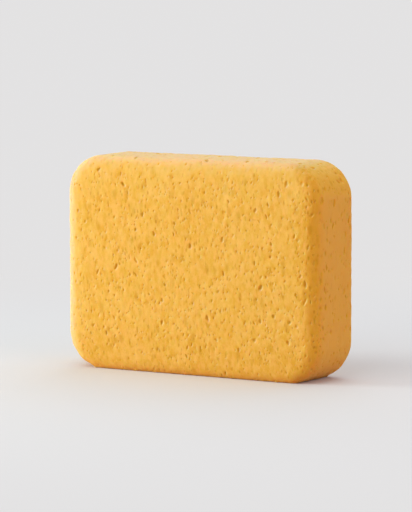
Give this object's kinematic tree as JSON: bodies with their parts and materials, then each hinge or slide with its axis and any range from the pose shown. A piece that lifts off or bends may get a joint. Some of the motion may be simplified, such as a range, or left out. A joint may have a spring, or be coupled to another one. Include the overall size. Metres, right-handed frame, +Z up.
{
  "type": "cleaning sponge",
  "caption": "Rounded block of open-cell foam for washing and grout clean-up, standing on its long edge.",
  "frame": {"origin": "middle of the long edge that the block stands on, at the centre of its thickness", "axes": "+X along the block's length, +Y through its thickness from the front face to the back face, +Z up its height"},
  "size_m": [0.1906, 0.0508, 0.1397],
  "materials": {
    "foam": "matt open-cell foam, yellow-orange, peppered with small open pores"
  },
  "bodies": {
    "root": {"sponge": "foam"}
  },
  "joints": []
}
